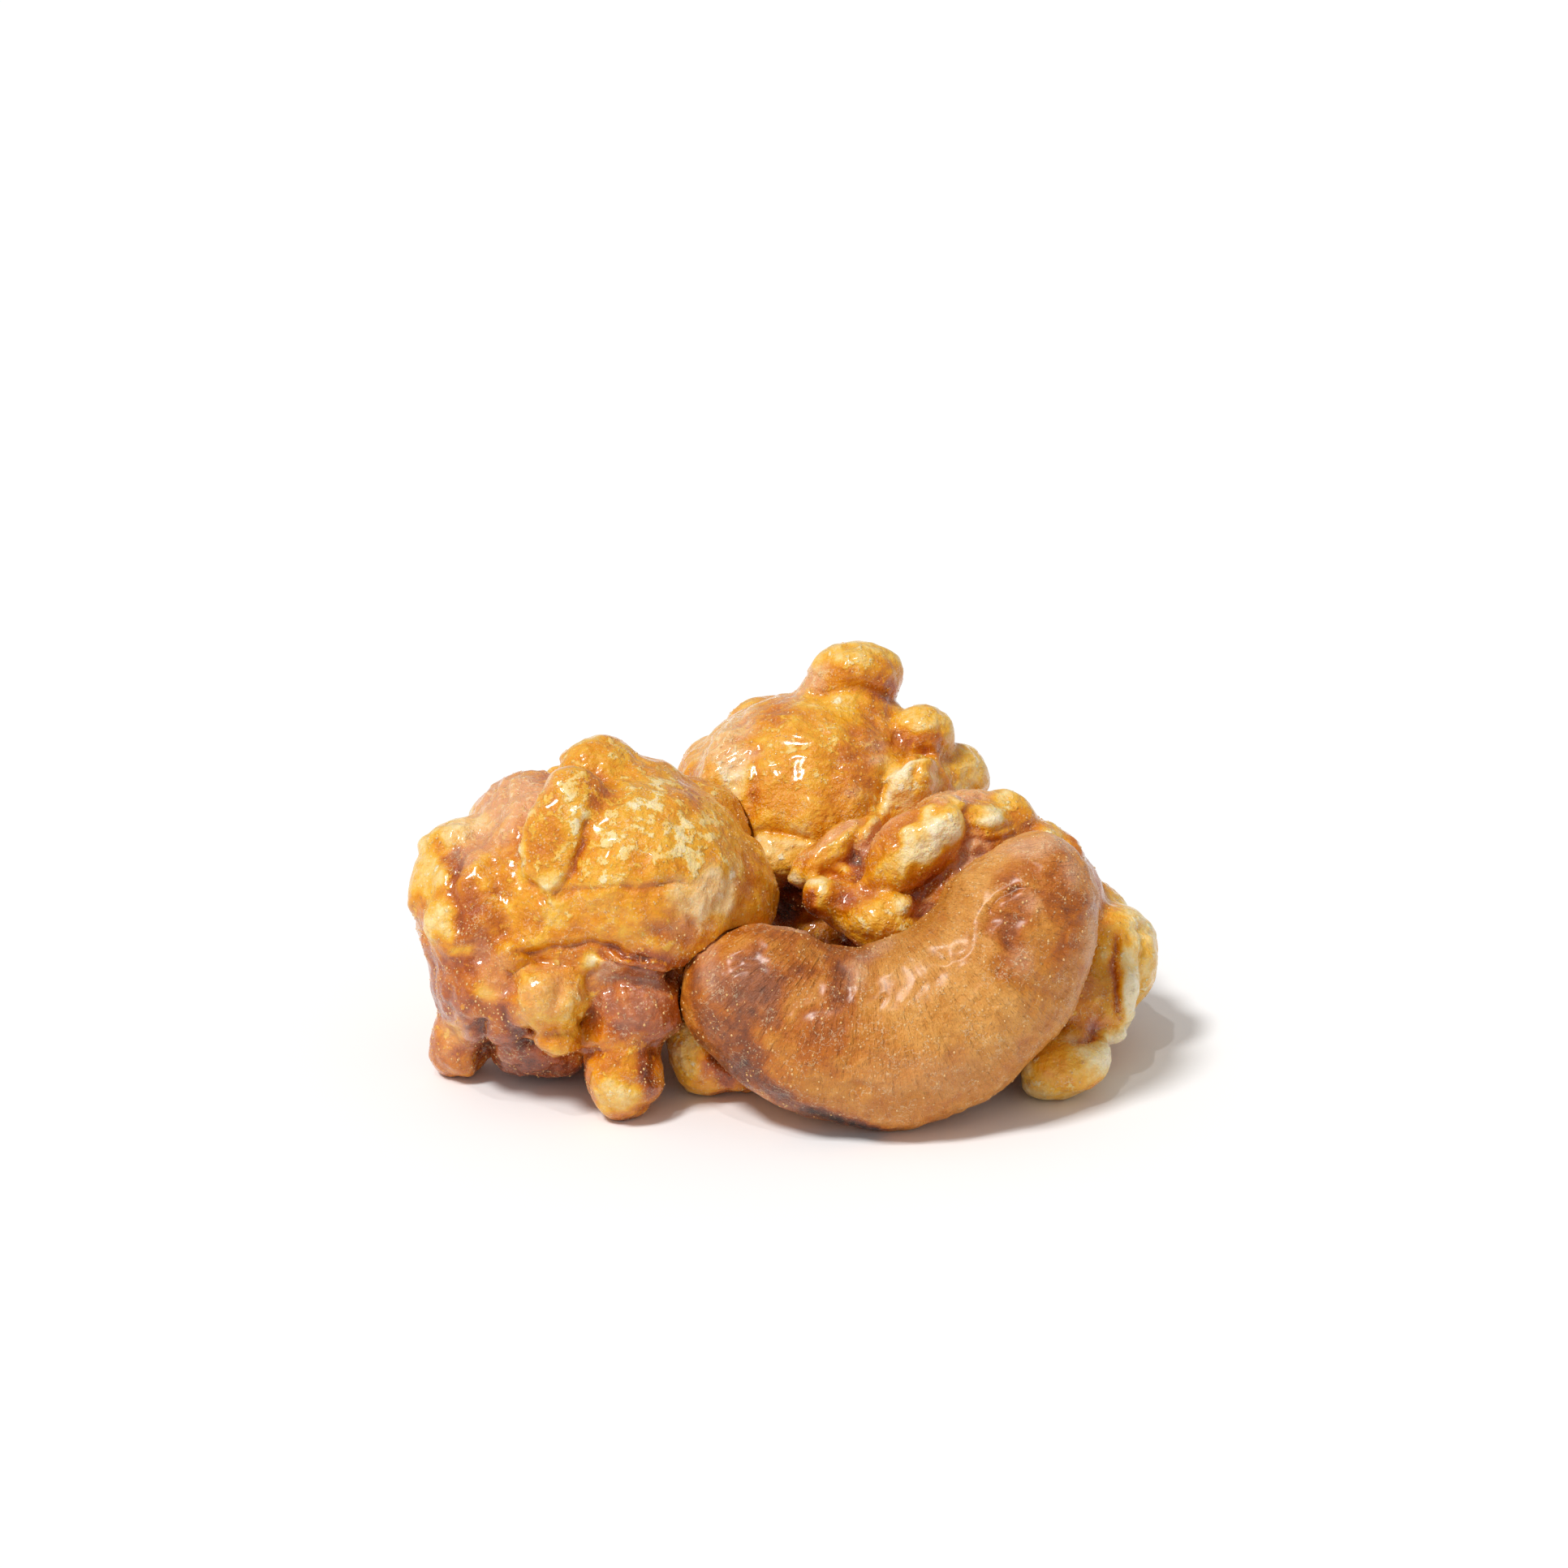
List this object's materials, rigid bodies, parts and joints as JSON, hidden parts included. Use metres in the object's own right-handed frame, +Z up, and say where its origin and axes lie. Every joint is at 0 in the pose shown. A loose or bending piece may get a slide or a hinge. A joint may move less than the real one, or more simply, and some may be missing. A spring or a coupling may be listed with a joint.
{
  "type": "caramel popcorn",
  "caption": "Small heap of caramel popcorn: knobbly popped kernels and a curved cashew in a glossy caramel coat, lying against each other as one part.",
  "frame": {"origin": "on the table under the middle of the heap's box", "axes": "+Z up, +X to the right along the heap's longest side, +Y away from the side with the cashew"},
  "size_m": [0.0501, 0.0381, 0.0237],
  "materials": {
    "golden_caramel": "thin glossy caramel over pale popped corn",
    "amber_caramel": "thicker amber caramel over pale popped corn",
    "cashew_caramel": "smooth tan caramel coat over a cashew"
  },
  "bodies": {
    "root": {"popcorn_left": "golden_caramel", "popcorn_back": "golden_caramel", "popcorn_right": "amber_caramel", "cashew": "cashew_caramel"}
  },
  "joints": []
}
